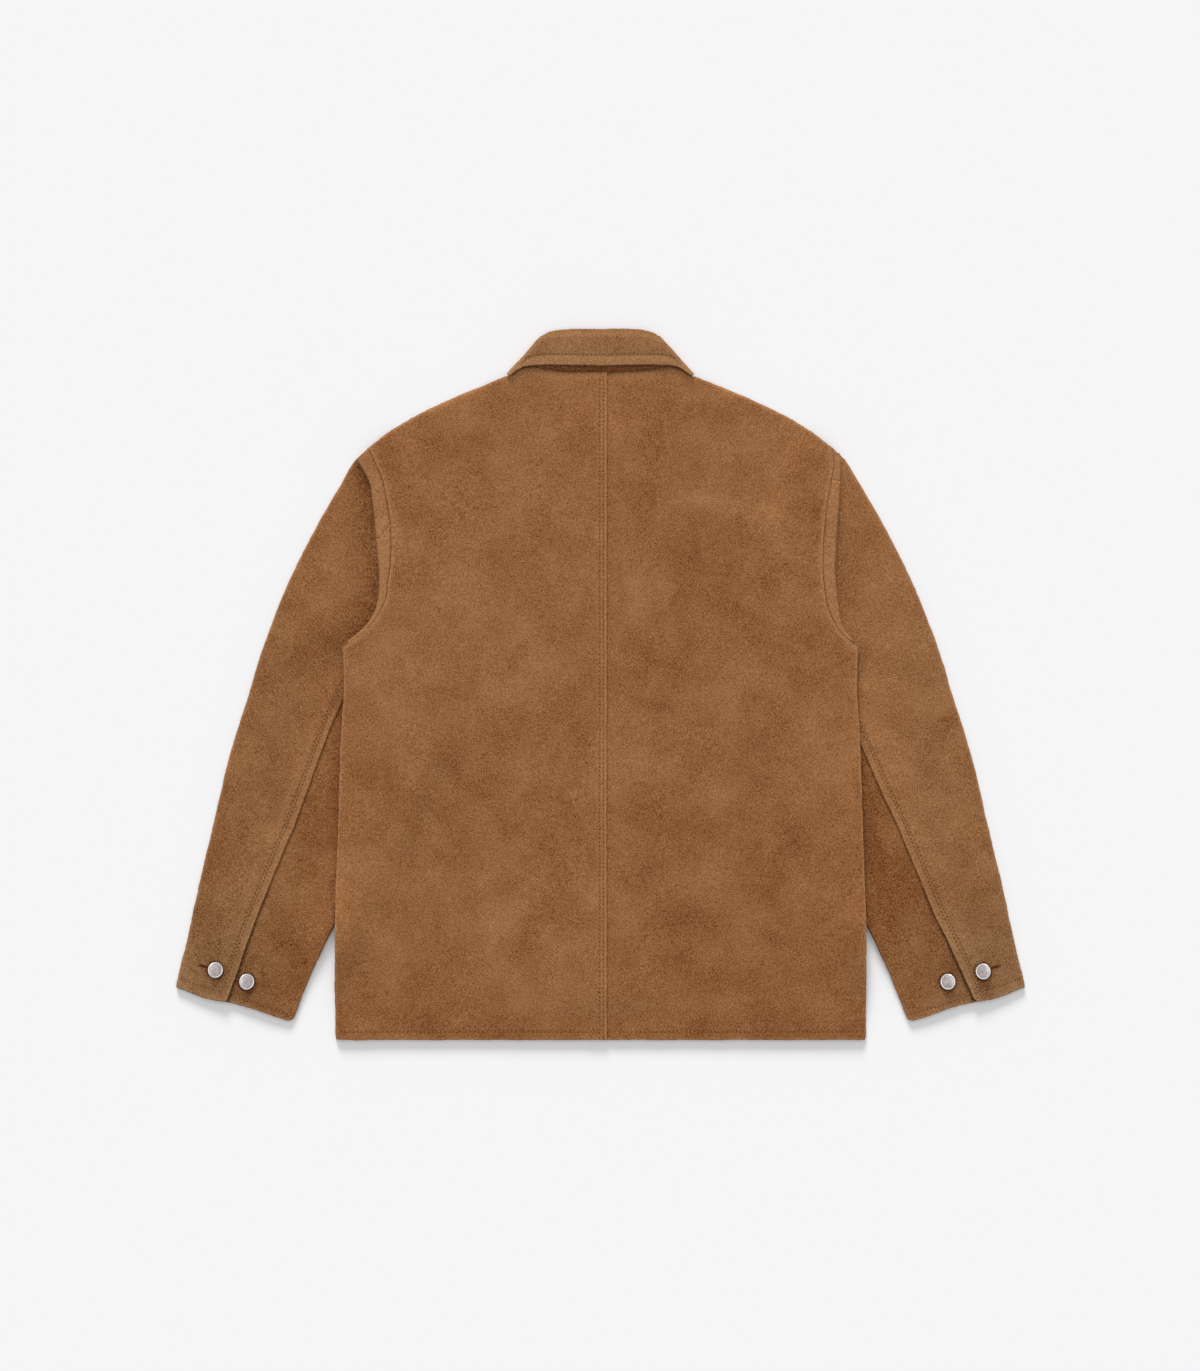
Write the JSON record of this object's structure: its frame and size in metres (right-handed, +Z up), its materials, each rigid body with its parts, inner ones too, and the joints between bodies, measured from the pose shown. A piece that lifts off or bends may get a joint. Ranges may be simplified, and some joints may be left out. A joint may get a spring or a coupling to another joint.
{
  "type": "suede jacket laid flat",
  "caption": "Suede jacket lying flat on its front, back up, sleeves at its sides, with a turned-down collar and metal cuff buttons.",
  "frame": {"origin": "centre of the underside of the bounding box, on the floor the jacket rests on", "axes": "+X across the jacket towards the wearer's right, +Y from hem to collar, +Z up out of the floor"},
  "size_m": [0.9186, 0.7678, 0.0097],
  "materials": {
    "suede": "matt brushed suede with a fine nap, warm mid brown",
    "button_metal": "satin, slightly worn silver metal"
  },
  "bodies": {
    "root": {"back_left": "suede", "back_right": "suede", "front_left": "suede", "front_right": "suede", "upper_sleeve_left": "suede", "upper_sleeve_right": "suede", "under_sleeve_left": "suede", "under_sleeve_right": "suede", "collar_stand": "suede", "collar_fall": "suede", "cuff_button_left_1": "button_metal", "cuff_button_left_2": "button_metal", "cuff_button_right_1": "button_metal", "cuff_button_right_2": "button_metal", "front_button_1": "button_metal", "front_button_2": "button_metal", "front_button_3": "button_metal", "front_button_4": "button_metal", "front_button_5": "button_metal"}
  },
  "joints": []
}
